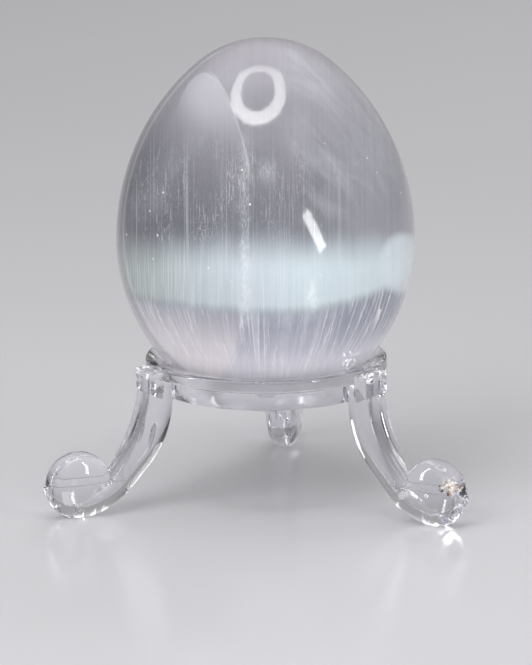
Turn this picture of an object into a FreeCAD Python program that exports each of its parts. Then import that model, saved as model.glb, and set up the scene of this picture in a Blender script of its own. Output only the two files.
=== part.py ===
import FreeCAD, Part
import Sketcher
import math
import os

# A polished stone egg standing in a clear moulded stand with three legs.
#
# The stand knocks down. A flanged ring carries the egg in a conical seat. Each leg is pushed
# up under the ring from below: its dovetail tongue enters a socket in the ring's skirt, its
# shelf stops against the flange, and its head ends where the rounding of the ring's lip starts.
#
# Millimetres and degrees. Z is up, the origin is on the table under the ring's axis, and the
# back leg points along +Y.

# alias, value, what it is
DRIVING = [
    ("egg_radius", 25.0, "egg: half its greatest width"),
    ("egg_lower", 29.4, "egg: bottom tip to the widest level"),
    ("egg_upper", 33.7, "egg: widest level to the top tip"),
    ("egg_base_round", 18.8, "egg: radius of the blunt end"),
    ("egg_tip_round", 17.6, "egg: radius of the narrow end"),
    ("ring_share", 0.812, "ring: outside radius as a share of the egg's"),
    ("ring_height", 5.5, "ring: underside to top"),
    ("ring_land", 1.9, "ring: seat's upper edge to the outside"),
    ("flange_height", 2.1, "ring: height of the flange"),
    ("flange_reach", 2.3, "ring: how far the flange stands out past the skirt"),
    ("seat_slope", 48.0, "ring: seat, degrees from vertical"),
    ("lip_round", 0.6, "ring: rounding of the top outer edge"),
    ("edge_bevel", 0.12, "ring: bevel of the other outer edges"),
    ("shelf_level", 22.2, "leg: shelf under the flange, above the table"),
    ("leg_width", 5.3, "leg: across its flat outer face"),
    ("leg_depth", 4.9, "leg: inner side to outer face, at the top"),
    ("leg_tuck", 0.6, "leg: how far its inner side stands in under the skirt"),
    ("leg_round", 2.6, "leg: rounding of the two inner edges"),
    ("leg_sweep", 14.1, "leg: foot's centre outside the flange"),
    ("bend_share", 1.0, "leg: inner side's upper bend, as a share of its whole run outwards"),
    ("heel_share", 0.735, "leg: heel's bend, as a share of the same"),
    ("inner_slope", 43.0, "leg: straight run of the inner side, degrees from vertical"),
    ("outer_lean", 8.0, "leg: outer face under the head, degrees from vertical"),
    ("head_width", 6.1, "leg head: across"),
    ("head_height", 3.5, "leg head: top to underside"),
    ("head_step", 0.25, "leg head: how far it stands out past the leg"),
    ("head_round", 0.3, "leg head: rounding of the outer edges"),
    ("tongue_depth", 1.1, "tongue: how far it enters the skirt"),
    ("tongue_neck", 3.0, "tongue: width at the skirt's surface"),
    ("tongue_flare", 4.2, "tongue: width at its inner end"),
    ("tongue_root", 1.6, "tongue: how far it runs back into the leg"),
    ("foot_radius", 5.65, "foot: radius seen from the side"),
    ("foot_width", 6.0, "foot: thickness"),
    ("foot_rim_round", 2.6, "foot: rounding of its rim"),
    ("foot_flat", 0.2, "foot: depth of the flat that it stands on"),
    ("foot_entry", 3.0, "leg: outer face's end inside the foot, inward of the foot's centre"),
    ("foot_bite", 1.9, "leg: the same end, below the foot's centre"),
    ("stub_radius", 0.8, "foot: moulding stub on its outer end"),
    ("stub_height", 0.25, "foot: how far the stub stands out"),
    ("stub_drop", 0.5, "foot: stub's centre below the foot's centre"),
    ("back_leg_angle", 90.0, "direction of the back leg"),
    ("seat_gap", 0.1, "fit: egg to seat"),
    ("slide_gap", 0.08, "fit: leg to ring, at the sides"),
    ("rest_gap", 0.03, "fit: flange to the leg's shelf"),
    ("tuck_gap", 0.1, "fit: skirt's underside to the leg below it"),
    ("roof_gap", 0.2, "fit: tongue's top to the socket's roof"),
]

# alias, formula, what it is
WORKED = [
    ("ring_radius", "sizes.egg_radius * sizes.ring_share", "ring: outside of the flange"),
    ("skirt_radius", "ring_radius - sizes.flange_reach", "ring: outside of the skirt"),
    ("skirt_height", "sizes.ring_height - sizes.flange_height", "ring: height of the skirt"),
    ("seat_radius", "ring_radius - sizes.ring_land", "ring: conical seat at the top"),
    ("seat_base", "seat_radius - sizes.ring_height * tan(sizes.seat_slope * 1 deg)",
     "ring: seat's radius at the underside"),
    ("ring_base", "sizes.shelf_level + sizes.rest_gap - skirt_height",
     "ring: underside above the table"),
    ("ring_top", "ring_base + sizes.ring_height", "ring: top above the table"),
    ("seat_apex", "ring_top - seat_radius / tan(sizes.seat_slope * 1 deg)",
     "ring: where the seat's cone meets the axis"),
    ("flank_low", "(sizes.egg_radius ^ 2 + (sizes.egg_lower - sizes.egg_base_round) ^ 2"
     " - sizes.egg_base_round ^ 2) / (2 * (sizes.egg_radius - sizes.egg_base_round))",
     "egg: radius of the side below the widest level"),
    ("flank_high", "(sizes.egg_radius ^ 2 + (sizes.egg_upper - sizes.egg_tip_round) ^ 2"
     " - sizes.egg_tip_round ^ 2) / (2 * (sizes.egg_radius - sizes.egg_tip_round))",
     "egg: radius of the side above the widest level"),
    ("blunt_start", "atan((sizes.egg_lower - sizes.egg_base_round)"
     " / (flank_low - sizes.egg_radius)) / 1 deg",
     "egg: where the side passes into the blunt end, degrees below level"),
    ("tip_start", "atan((sizes.egg_upper - sizes.egg_tip_round)"
     " / (flank_high - sizes.egg_radius)) / 1 deg",
     "egg: where the side passes into the narrow end, degrees above level"),
    ("flank_touch", "flank_low - (flank_low - sizes.egg_radius) * cos(sizes.seat_slope * 1 deg)",
     "egg: its widest level's centre to a seat that the side touches, square to the seat"),
    ("blunt_touch", "sizes.egg_base_round + (sizes.egg_lower - sizes.egg_base_round)"
     " * sin(sizes.seat_slope * 1 deg)",
     "the same for a seat that the blunt end touches"),
    ("egg_touch", "sizes.seat_slope < blunt_start ? flank_touch : blunt_touch",
     "the one of the two that holds"),
    ("egg_base", "seat_apex + (egg_touch + sizes.seat_gap) / sin(sizes.seat_slope * 1 deg)"
     " - sizes.egg_lower", "egg: bottom tip above the table"),
    ("leg_inner", "skirt_radius - sizes.leg_tuck", "leg: inner side from the axis"),
    ("leg_outer", "leg_inner + sizes.leg_depth", "leg: outer face under the head"),
    ("skirt_clear", "skirt_radius + sizes.slide_gap", "leg: room for the skirt"),
    ("flange_clear", "ring_radius + sizes.slide_gap", "leg: room for the flange"),
    ("shoulder_level", "ring_base - sizes.tuck_gap", "leg: shoulder under the skirt"),
    ("head_top", "ring_top - sizes.lip_round", "leg head: top, where the ring's lip starts"),
    ("head_base", "head_top - sizes.head_height", "leg head: underside above the table"),
    ("head_outer", "leg_outer + sizes.head_step", "leg head: outer face"),
    ("tongue_end", "skirt_radius - sizes.tongue_depth", "tongue: inner end"),
    ("foot_reach", "ring_radius + sizes.leg_sweep", "foot: centre from the axis"),
    ("foot_level", "sizes.foot_radius - sizes.foot_flat", "foot: centre above the table"),
    ("leg_run", "foot_reach - leg_inner", "leg: inner side to the foot's centre"),
    ("inner_bend", "leg_run * sizes.bend_share", "leg: radius of the inner side's upper bend"),
    ("heel_bend", "leg_run * sizes.heel_share", "leg: radius of the heel, into the foot"),
    ("foot_cheek", "((sizes.foot_radius - sizes.foot_rim_round) ^ 2"
     " + (sizes.foot_width / 2) ^ 2 - sizes.foot_rim_round ^ 2)"
     " / (sizes.foot_width - 2 * sizes.foot_rim_round)", "foot: radius of its two cheeks"),
    ("cheek_start", "asin((sizes.foot_radius - sizes.foot_rim_round)"
     " / (foot_cheek - sizes.foot_rim_round)) / 1 deg",
     "foot: where a cheek passes into the rim, degrees off the foot's axle"),
    ("stub_root", "foot_reach + sizes.foot_radius - 2 * sizes.stub_height",
     "foot: inner end of the stub"),
]

LEGS = ["leg_back", "leg_left", "leg_right"]

doc = FreeCAD.newDocument("egg_on_stand")


def fill_sheet(name, rows, prefix):
    """Write one aliased value to a row, with its meaning beside it."""
    sheet = doc.addObject("Spreadsheet::Sheet", name)
    for row, (alias, content, meaning) in enumerate(rows, start=1):
        sheet.set("A%d" % row, prefix + str(content))
        sheet.setAlias("A%d" % row, alias)
        sheet.set("B%d" % row, meaning)
    doc.recompute()
    return sheet


sizes = fill_sheet("sizes", DRIVING, "")
fits = fill_sheet("fits", WORKED, "=")


def value(formula):
    """The present value of a formula, as a plain number."""
    return float(sizes.evalExpression(str(formula)))


def origin_feature(body, role):
    return [feature for feature in body.Origin.OriginFeatures if feature.Role == role][0]


def new_body(label):
    body = doc.addObject("PartDesign::Body", label)
    body.Label = label
    return body


def new_sketch(body, name, role, x="0", y="0", z="0"):
    """A sketch on one of the body's own planes, shifted by formulas along the body's axes."""
    sketch = body.newObject("Sketcher::SketchObject", name)
    sketch.AttachmentSupport = [(origin_feature(body, role), "")]
    sketch.MapMode = "FlatFace"
    # the order in which each plane's own two directions and its normal meet the body's axes
    shifts = {"XY_Plane": (x, y, z), "XZ_Plane": (x, z, y), "YZ_Plane": (y, z, x)}[role]
    for axis, formula in zip("xyz", shifts):
        if formula != "0":
            sketch.setExpression("AttachmentOffset.Base." + axis, formula)
    return sketch


def bind(sketch, kind, references, formula):
    """Add a dimension to the sketch and tie it to a formula."""
    index = sketch.addConstraint(Sketcher.Constraint(kind, *references, value(formula)))
    sketch.setExpression("Constraints[%d]" % index, str(formula))


def hold(sketch, geometry, position, x, y):
    """Hold one point of the sketch at x, y from its origin."""
    bind(sketch, "DistanceX", (-1, 1, geometry, position), x)
    bind(sketch, "DistanceY", (-1, 1, geometry, position), y)


def relate(sketch, kind, *references):
    sketch.addConstraint(Sketcher.Constraint(kind, *references))


def add_line(sketch, start, end):
    return sketch.addGeometry(Part.LineSegment(FreeCAD.Vector(*start), FreeCAD.Vector(*end)))


def add_arc(sketch, centre, radius, start, end):
    """An arc between two angles in degrees, anticlockwise."""
    circle = Part.Circle(FreeCAD.Vector(*centre), FreeCAD.Vector(0, 0, 1), radius)
    return sketch.addGeometry(
        Part.ArcOfCircle(circle, math.radians(start), math.radians(end)))


def add_polygon(sketch, corners):
    """A closed outline of straight lines, its corners given as pairs of formulas."""
    points = [(value(x), value(y)) for x, y in corners]
    first = [add_line(sketch, start, end)
             for start, end in zip(points, points[1:] + points[:1])][0]
    for index, (x, y) in enumerate(corners):
        relate(sketch, "Coincident", first + index, 2, first + (index + 1) % len(corners), 1)
        hold(sketch, first + index, 1, x, y)


def add_circle(sketch, radius):
    """A circle round the sketch's origin."""
    circle = Part.Circle(FreeCAD.Vector(0, 0), FreeCAD.Vector(0, 0, 1), value(radius))
    index = sketch.addGeometry(circle)
    relate(sketch, "Coincident", index, 3, -1, 1)
    bind(sketch, "Radius", (index,), radius)


def revolve(body, name, sketch):
    """Turn a sketch once round its own upright axis."""
    feature = body.newObject("PartDesign::Revolution", name)
    feature.Profile = sketch
    feature.ReferenceAxis = (sketch, ["V_Axis"])
    feature.Angle = 360
    return feature


def pad(body, name, sketch, length, symmetric=False):
    feature = body.newObject("PartDesign::Pad", name)
    feature.Profile = sketch
    feature.setExpression("Length", length)
    if symmetric:
        feature.SideType = "Symmetric"
    return feature


def pocket(body, name, sketch, length, upward):
    feature = body.newObject("PartDesign::Pocket", name)
    feature.Profile = sketch
    feature.Reversed = upward
    feature.setExpression("Length", length)
    return feature


def dress_edges(body, kind, name, base, points, size):
    """Round or bevel the edges of the base feature that lie nearest to the given points."""
    doc.recompute()
    names = []
    for point in points:
        spot = Part.Vertex(FreeCAD.Vector(*point))
        distances = [edge.distToShape(spot)[0] for edge in base.Shape.Edges]
        names.append("Edge%d" % (distances.index(min(distances)) + 1))
    feature = body.newObject("PartDesign::" + kind, name)
    feature.Base = (base, sorted(set(names)))
    feature.setExpression({"Fillet": "Radius", "Chamfer": "Size"}[kind], size)
    return feature


def build_egg():
    """Four arcs, each running smoothly into the next, turned round the upright axis."""
    body = new_body("egg")
    sketch = new_sketch(body, "egg_profile", "XZ_Plane", z="fits.egg_base")
    level, radius = sizes.egg_lower, sizes.egg_radius
    top = level + sizes.egg_upper
    add_arc(sketch, (0, sizes.egg_base_round), sizes.egg_base_round, -90, -fits.blunt_start)
    add_arc(sketch, (radius - fits.flank_low, level), fits.flank_low, -fits.blunt_start, 0)
    add_arc(sketch, (radius - fits.flank_high, level), fits.flank_high, 0, fits.tip_start)
    add_arc(sketch, (0, top - sizes.egg_tip_round), sizes.egg_tip_round, fits.tip_start, 90)
    add_line(sketch, (0, top), (0, 0))
    for lower in range(3):
        relate(sketch, "Tangent", lower, 2, lower + 1, 1)
    relate(sketch, "Coincident", 3, 2, 4, 1)
    relate(sketch, "Coincident", 4, 2, 0, 1)
    relate(sketch, "Coincident", 0, 1, -1, 1)
    relate(sketch, "PointOnObject", 0, 3, -2)
    relate(sketch, "PointOnObject", 3, 3, -2)
    relate(sketch, "PointOnObject", 3, 2, -2)
    relate(sketch, "Horizontal", 1, 3, 1, 2)
    bind(sketch, "Radius", (0,), "sizes.egg_base_round")
    bind(sketch, "Radius", (3,), "sizes.egg_tip_round")
    hold(sketch, 1, 2, "sizes.egg_radius", "sizes.egg_lower")
    bind(sketch, "DistanceY", (-1, 1, 3, 2), "sizes.egg_lower + sizes.egg_upper")
    revolve(body, "egg_turned", sketch)
    return body


def build_ring():
    """Flange, skirt and conical seat, with a dovetail socket for each leg."""
    body = new_body("stand_ring")
    sketch = new_sketch(body, "ring_profile", "XZ_Plane", z="fits.ring_base")
    add_polygon(sketch, [
        ("fits.seat_base", "0"),
        ("fits.skirt_radius", "0"),
        ("fits.skirt_radius", "fits.skirt_height"),
        ("fits.ring_radius", "fits.skirt_height"),
        ("fits.ring_radius", "sizes.ring_height"),
        ("fits.seat_radius", "sizes.ring_height"),
    ])
    turned = revolve(body, "ring_turned", sketch)
    rim, skirt = fits.ring_radius, fits.skirt_radius
    lip = dress_edges(body, "Fillet", "lip", turned, [(0, rim, fits.ring_top)],
                      "sizes.lip_round")
    edges = [(0, rim, fits.ring_base + fits.skirt_height), (0, skirt, fits.ring_base)]
    dress_edges(body, "Chamfer", "soft_edges", lip, edges, "sizes.edge_bevel")
    socket = new_sketch(body, "socket_outline", "XY_Plane", z="fits.ring_base")
    inner = "fits.tongue_end - sizes.slide_gap"
    outer = "fits.skirt_clear"
    flare = "sizes.tongue_flare / 2 + sizes.slide_gap"
    neck = "sizes.tongue_neck / 2 + sizes.slide_gap"
    add_polygon(socket, [("-(%s)" % flare, inner), (flare, inner), (neck, outer),
                         ("-(%s)" % neck, outer)])
    cut = pocket(body, "socket", socket, "fits.skirt_height", upward=True)
    pattern = body.newObject("PartDesign::PolarPattern", "sockets")
    pattern.Originals = [cut]
    pattern.Axis = (origin_feature(body, "Z_Axis"), [""])
    pattern.Angle = 360
    pattern.Occurrences = len(LEGS)
    body.Tip = pattern
    # the sockets open along +Y in the body, which is then turned to the back leg
    turn_body(body, "sizes.back_leg_angle - 90")
    return body


def turn_body(body, angle):
    body.Placement = FreeCAD.Placement(
        FreeCAD.Vector(), FreeCAD.Rotation(FreeCAD.Vector(0, 0, 1), 1))
    body.setExpression("Placement.Rotation.Angle", angle)


def side_outline(sketch):
    """Side view of a leg: upright at the ring, then sweeping out and down into the foot.

    Returns the middle of the inner side's straight run."""
    run, lean = math.radians(sizes.inner_slope), math.radians(sizes.outer_lean)
    inner, outer, top = fits.leg_inner, fits.leg_outer, fits.head_top
    heel = (fits.foot_reach, fits.heel_bend - sizes.foot_flat)
    run_end = (heel[0] - fits.heel_bend * math.cos(run),
               heel[1] - fits.heel_bend * math.sin(run))
    run_start = inner + fits.inner_bend * (1 - math.cos(run))
    run_top = run_end[1] + (run_end[0] - run_start) / math.tan(run)
    bend_level = run_top + fits.inner_bend * math.sin(run)
    # the outer face is the arc that leaves the head at its lean and meets its end in the foot
    end = (fits.foot_reach - sizes.foot_entry, fits.foot_level - sizes.foot_bite)
    across, down = end[0] - outer, end[1] - fits.head_base
    bow = (across ** 2 + down ** 2) / (2 * (across * math.cos(lean) + down * math.sin(lean)))
    centre = (outer + bow * math.cos(lean), fits.head_base + bow * math.sin(lean))
    end_angle = math.degrees(math.atan2(centre[1] - end[1], centre[0] - end[0]))
    add_line(sketch, (inner, top), (inner, bend_level))
    add_arc(sketch, (inner + fits.inner_bend, bend_level), fits.inner_bend, 180,
            180 + sizes.inner_slope)
    add_line(sketch, (run_start, run_top), run_end)
    add_arc(sketch, heel, fits.heel_bend, 180 + sizes.inner_slope, 270)
    add_line(sketch, (heel[0], -sizes.foot_flat), (heel[0], end[1]))
    add_line(sketch, (heel[0], end[1]), end)
    add_arc(sketch, centre, bow, 180 + sizes.outer_lean, 180 + end_angle)
    add_line(sketch, (outer, fits.head_base), (outer, top))
    add_line(sketch, (outer, top), (inner, top))
    for first in range(3):
        relate(sketch, "Tangent", first, 2, first + 1, 1)
    for first, side, second, start in [(3, 2, 4, 1), (4, 2, 5, 1), (5, 2, 6, 2), (6, 1, 7, 1),
                                       (7, 2, 8, 1), (8, 2, 0, 1)]:
        relate(sketch, "Coincident", first, side, second, start)
    for upright in (0, 4, 7):
        relate(sketch, "Vertical", upright)
    for level in (5, 8):
        relate(sketch, "Horizontal", level)
    hold(sketch, 0, 1, "fits.leg_inner", "fits.head_top")
    bind(sketch, "Radius", (1,), "fits.inner_bend")
    bind(sketch, "Radius", (3,), "fits.heel_bend")
    hold(sketch, 3, 2, "fits.foot_reach", "-sizes.foot_flat")
    relate(sketch, "Vertical", 3, 3, 3, 2)
    bind(sketch, "DistanceX", (3, 1, 3, 3),
         "fits.heel_bend * cos(sizes.inner_slope * 1 deg)")
    hold(sketch, 6, 1, "fits.leg_outer", "fits.head_base")
    hold(sketch, 6, 2, "fits.foot_reach - sizes.foot_entry",
         "fits.foot_level - sizes.foot_bite")
    # the outer face's lean is held through a short line square to it, kept out of the outline
    spoke = add_line(sketch, (outer, fits.head_base), centre)
    sketch.toggleConstruction(spoke)
    relate(sketch, "Coincident", spoke, 1, 6, 1)
    relate(sketch, "Coincident", spoke, 2, 6, 3)
    bind(sketch, "Angle", (spoke,), "sizes.outer_lean * 1 deg")
    return (run_start + run_end[0]) / 2, (run_top + run_end[1]) / 2


def foot_outline(sketch):
    """Half of the foot's section: two cheeks and a round rim, about the foot's axle."""
    half, rim = sizes.foot_width / 2, sizes.foot_rim_round
    cheek, start = fits.foot_cheek, fits.cheek_start
    add_arc(sketch, (0, cheek - half), cheek, -90, start - 90)
    add_arc(sketch, (sizes.foot_radius - rim, 0), rim, start - 90, 90 - start)
    add_arc(sketch, (0, half - cheek), cheek, 90 - start, 90)
    add_line(sketch, (0, half), (0, -half))
    relate(sketch, "Tangent", 0, 2, 1, 1)
    relate(sketch, "Tangent", 1, 2, 2, 1)
    relate(sketch, "Coincident", 2, 2, 3, 1)
    relate(sketch, "Coincident", 3, 2, 0, 1)
    relate(sketch, "PointOnObject", 0, 3, -2)
    relate(sketch, "PointOnObject", 2, 3, -2)
    relate(sketch, "PointOnObject", 3, 1, -2)
    relate(sketch, "PointOnObject", 3, 2, -2)
    bind(sketch, "Radius", (1,), "sizes.foot_rim_round")
    hold(sketch, 1, 3, "sizes.foot_radius - sizes.foot_rim_round", "0")
    bind(sketch, "DistanceY", (-1, 1, 2, 2), "sizes.foot_width / 2")
    bind(sketch, "DistanceY", (0, 1, -1, 1), "sizes.foot_width / 2")


def make_room(body, name, radius, level):
    """Take away what stands above a level and nearer to the ring's axis than a radius."""
    outline = new_sketch(body, name + "_outline", "XY_Plane", z=level)
    add_circle(outline, radius)
    pocket(body, name, outline, "sizes.ring_height + sizes.tuck_gap", upward=True)


def build_leg(label, index):
    """One leg, drawn along +X and turned to its place. The three are alike."""
    body = new_body(label)
    side = new_sketch(body, label + "_side", "XZ_Plane")
    reach, level = side_outline(side)
    bar = pad(body, label + "_bar", side, "sizes.leg_width", symmetric=True)
    half = sizes.leg_width / 2
    inner_edges = [(reach, y, level) for y in (-half, half)]
    dress_edges(body, "Fillet", label + "_inner_round", bar, inner_edges, "sizes.leg_round")

    outline = new_sketch(body, label + "_head_outline", "XY_Plane", z="fits.head_base")
    back, across = "fits.leg_inner + sizes.leg_round", "sizes.head_width / 2"
    add_polygon(outline, [(back, "-" + across), ("fits.head_outer", "-" + across),
                          ("fits.head_outer", across), (back, across)])
    head = pad(body, label + "_head", outline, "sizes.head_height")
    half = sizes.head_width / 2
    middle = fits.head_top - sizes.head_height / 2
    head_edges = [(fits.head_outer, -half, middle), (fits.head_outer, half, middle),
                  (fits.head_outer, 0, fits.head_top)]
    dress_edges(body, "Fillet", label + "_head_round", head, head_edges, "sizes.head_round")

    make_room(body, label + "_shelf", "fits.flange_clear", "sizes.shelf_level")
    make_room(body, label + "_shoulder", "fits.skirt_clear", "fits.shoulder_level")

    dovetail = new_sketch(body, label + "_tongue_outline", "XY_Plane", z="fits.shoulder_level")
    flare, neck = "sizes.tongue_flare / 2", "sizes.tongue_neck / 2"
    root = "fits.skirt_clear + sizes.tongue_root"
    add_polygon(dovetail, [
        ("fits.tongue_end", "-" + flare),
        ("fits.skirt_radius", "-" + neck),
        (root, "-" + neck),
        (root, neck),
        ("fits.skirt_radius", neck),
        ("fits.tongue_end", flare),
    ])
    pad(body, label + "_tongue", dovetail,
        "sizes.tuck_gap + fits.skirt_height - sizes.roof_gap")

    section = new_sketch(body, label + "_foot_section", "XY_Plane",
                         x="fits.foot_reach", z="fits.foot_level")
    foot_outline(section)
    revolve(body, label + "_foot", section)

    end = new_sketch(body, label + "_stub_outline", "YZ_Plane",
                     x="fits.stub_root", z="fits.foot_level - sizes.stub_drop")
    add_circle(end, "sizes.stub_radius")
    pad(body, label + "_stub", end, "3 * sizes.stub_height")

    under = new_sketch(body, label + "_flat_outline", "XY_Plane", x="fits.foot_reach")
    add_circle(under, "2 * sizes.foot_radius")
    pocket(body, label + "_flat", under, "sizes.foot_radius", upward=False)

    turn_body(body, "sizes.back_leg_angle + %d * 360 / %d" % (index, len(LEGS)))
    return body


bodies = [build_egg(), build_ring()]
bodies += [build_leg(label, index) for index, label in enumerate(LEGS)]
doc.recompute()

for item in doc.Objects:
    if "Invalid" in item.State or "Error" in item.State:
        raise RuntimeError("%s did not build: %s" % (item.Label, item.State))

os.makedirs("parts", exist_ok=True)
for body in bodies:
    shape = body.Shape
    if shape.isNull() or not shape.isValid() or len(shape.Solids) != 1:
        raise RuntimeError("%s is not one sound solid" % body.Label)
    shape.exportStep(os.path.join("parts", body.Label + ".step"))
    print(body.Label, "%.2f mm3" % shape.Volume, shape.BoundBox)
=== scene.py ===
import math
import bpy
import bmesh
import numpy as np
from mathutils import Matrix, Vector


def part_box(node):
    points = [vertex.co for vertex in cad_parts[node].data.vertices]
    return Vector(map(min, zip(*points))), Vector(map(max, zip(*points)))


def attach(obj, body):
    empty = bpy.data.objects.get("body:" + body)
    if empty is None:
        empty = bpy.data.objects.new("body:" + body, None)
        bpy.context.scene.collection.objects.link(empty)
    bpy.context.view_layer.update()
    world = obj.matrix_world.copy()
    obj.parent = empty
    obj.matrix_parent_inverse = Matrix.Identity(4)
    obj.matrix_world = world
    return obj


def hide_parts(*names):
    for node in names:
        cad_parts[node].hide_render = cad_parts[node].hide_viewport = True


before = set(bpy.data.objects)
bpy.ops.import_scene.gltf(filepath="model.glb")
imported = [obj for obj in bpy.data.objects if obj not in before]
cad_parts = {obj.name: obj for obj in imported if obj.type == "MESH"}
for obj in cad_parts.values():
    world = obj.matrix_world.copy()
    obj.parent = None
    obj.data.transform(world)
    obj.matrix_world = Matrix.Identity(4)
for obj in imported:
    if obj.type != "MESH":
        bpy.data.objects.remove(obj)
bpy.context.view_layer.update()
print("frame loaded:", sorted(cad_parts))


# display value from 0 to 1 turned into the linear value that a socket takes
def linear(value):
    return value / 12.92 if value <= 0.04045 else ((value + 0.055) / 1.055) ** 2.4


def paint(red, green, blue):
    return (linear(red), linear(green), linear(blue), 1.0)


def addObject(name, data):
    item = bpy.data.objects.new(name, data)
    bpy.context.scene.collection.objects.link(item)
    return item


# Closed forms, given as (forms, rows, columns, 3): rows of points from one pole to the other,
# the first and last row each a single point. Quads join neighbouring rows, and a fan of
# triangles closes each pole.
def closedSurface(name, forms):
    count, rowCount, around = forms.shape[:3]
    rings = forms[:, 1:-1].reshape(count, -1, 3)
    points = np.concatenate([forms[:, 0, :1], rings, forms[:, -1, :1]], 1)
    column = np.arange(around)
    nextColumn = (column + 1) % around
    base = 1 + np.arange(rowCount - 3)[:, None] * around
    quads = np.stack([base + column, base + nextColumn,
                      base + around + nextColumn, base + around + column], -1).reshape(-1, 4)
    lastRow = 1 + (rowCount - 3) * around
    foot = np.stack([np.zeros_like(column), 1 + nextColumn, 1 + column], -1)
    crown = np.stack([np.full_like(column, points.shape[1] - 1),
                      lastRow + column, lastRow + nextColumn], -1)
    skip = (np.arange(count) * points.shape[1])[:, None, None]
    faces = [face for kind in (foot, quads, crown)
             for face in (kind + skip).reshape(-1, kind.shape[1]).tolist()]
    mesh = bpy.data.meshes.new(name)
    mesh.from_pydata(points.reshape(-1, 3).tolist(), [], faces)
    mesh.shade_smooth()
    return addObject(name, mesh)


# a node tree's helper: one call adds a shader node, sets its values and links its inputs
class NodeBench:
    def __init__(self, tree):
        self.tree = tree

    def add(self, kind, settings=None, **inputs):
        node = self.tree.nodes.new("ShaderNode" + kind)
        for key, value in (settings or {}).items():
            setattr(node, key, value)
        for key, value in inputs.items():
            self.feed(node.inputs[key.replace("_", " ")], value)
        return node

    def feed(self, socket, value):
        if isinstance(value, bpy.types.NodeSocket):
            self.tree.links.new(value, socket)
        else:
            socket.default_value = value

    def feedAll(self, node, values):
        for name, value in values.items():
            self.feed(node.inputs[name], value)

    def math(self, operation, *values):
        node = self.add("Math", {"operation": operation})
        for socket, value in zip(node.inputs, values):
            self.feed(socket, value)
        return node.outputs[0]

    def plus(self, first, second):
        return self.math("ADD", first, second)

    def minus(self, first, second):
        return self.math("SUBTRACT", first, second)

    def times(self, product, *others):
        for value in others:
            product = self.math("MULTIPLY", product, value)
        return product

    # value times slope, plus start
    def line(self, value, slope, start):
        return self.math("MULTIPLY_ADD", value, slope, start)

    # distance from the middle, from two coordinates
    def reach(self, first, second):
        return self.math("SQRT", self.plus(self.times(first, first), self.times(second, second)))

    # smooth step from low to high, 0 below and 1 above
    def step(self, value, low, high):
        node = self.add("MapRange", {"interpolation_type": "SMOOTHSTEP"})
        for socket, content in zip(node.inputs, (value, low, high, 0.0, 1.0)):
            self.feed(socket, content)
        return node.outputs[0]

    # bell curve round a centre: exp(-((value - centre) / width) squared)
    def bell(self, value, centre, width):
        offset = self.math("DIVIDE", self.minus(value, centre), width)
        return self.math("EXPONENT", self.times(offset, offset, -1.0))

    def noise(self, vector, scale, detail=2.0, roughness=0.5, distortion=0.0):
        return self.add("TexNoise", Vector=vector, Scale=scale, Detail=detail,
                        Roughness=roughness, Distortion=distortion).outputs["Fac"]

    def stretch(self, vector, scale, start=(0, 0, 0)):
        return self.add("Mapping", Vector=vector, Scale=scale,
                        Location=start).outputs["Vector"]

    def split(self, vector):
        return self.add("SeparateXYZ", Vector=vector).outputs

    def blend(self, amount, first, second, mode="MIX"):
        node = self.add("Mix", {"data_type": "RGBA", "blend_type": mode})
        self.feed(node.inputs["Factor"], amount)
        self.feed(node.inputs[6], first)      # the colour pair, A and B
        self.feed(node.inputs[7], second)
        return node.outputs[2]

    # colours between stops, each a position from 0 to 1 and a display colour
    def ramp(self, value, stops):
        node = self.add("ValToRGB", Fac=value)
        elements = node.color_ramp.elements
        while len(elements) > 1:
            elements.remove(elements[-1])
        for number, (position, colour) in enumerate(stops):
            stop = elements.new(position) if number else elements[0]
            stop.position, stop.color = position, paint(*colour)
        return node.outputs["Color"]


def newMaterial(name):
    material = bpy.data.materials.new(name)
    material.use_nodes = True
    tree = material.node_tree
    tree.nodes.clear()
    bench = NodeBench(tree)
    shader = bench.add("BsdfPrincipled")
    output = bench.add("OutputMaterial")
    tree.links.new(shader.outputs["BSDF"], output.inputs["Surface"])
    return material, bench, shader


# a node group whose inputs are numbers with a starting value, or vectors where that is None
def newGroup(name, inputs, outputs):
    group = bpy.data.node_groups.new(name, "ShaderNodeTree")
    for label, start in inputs.items():
        kind = "NodeSocketVector" if start is None else "NodeSocketFloat"
        socket = group.interface.new_socket(name=label, in_out="INPUT", socket_type=kind)
        if start is not None:
            socket.default_value = start
    for label in outputs:
        group.interface.new_socket(name=label, in_out="OUTPUT", socket_type="NodeSocketFloat")
    bench = NodeBench(group)
    return group, bench, group.nodes.new("NodeGroupInput").outputs, group.nodes.new("NodeGroupOutput")


# the camera, which has the photograph's fitted view

view = {
    "distance": 0.700,        # from the aim point, metres
    "elevation": 11.9,        # degrees above level
    "turn": 5.7,              # the camera's place round the object, degrees from straight in front
    "roll": 0.25,
    "aimHeight": 0.040,       # the point that the distance is measured from
    "aimRow": 262.45,         # pixel row where that point shows
    "focalPixels": 4179.0,
    "frameSize": (532, 665),
    "sensorWidth": 36.0,
    "clipping": (0.05, 20.0),
}


def makeCamera():
    turn, rise = math.radians(view["turn"]), math.radians(view["elevation"])
    away = Vector((math.sin(turn) * math.cos(rise), -math.cos(turn) * math.cos(rise), math.sin(rise)))
    place = Vector((0, 0, view["aimHeight"])) + away * view["distance"]
    width, height = view["frameSize"]
    tip = math.atan((height / 2 - view["aimRow"]) / view["focalPixels"])
    camera = bpy.data.cameras.new("photoCamera")
    camera.sensor_fit, camera.sensor_width = "HORIZONTAL", view["sensorWidth"]
    camera.lens = view["focalPixels"] / width * view["sensorWidth"]
    camera.clip_start, camera.clip_end = view["clipping"]
    holder = addObject("photoCamera", camera)
    pitch = math.pi / 2 - rise - tip
    holder.matrix_world = (Matrix.Translation(place) @ Matrix.Rotation(turn, 4, "Z")
                           @ Matrix.Rotation(pitch, 4, "X")
                           @ Matrix.Rotation(math.radians(-view["roll"]), 4, "Z"))
    bpy.context.scene.camera = holder


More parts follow.
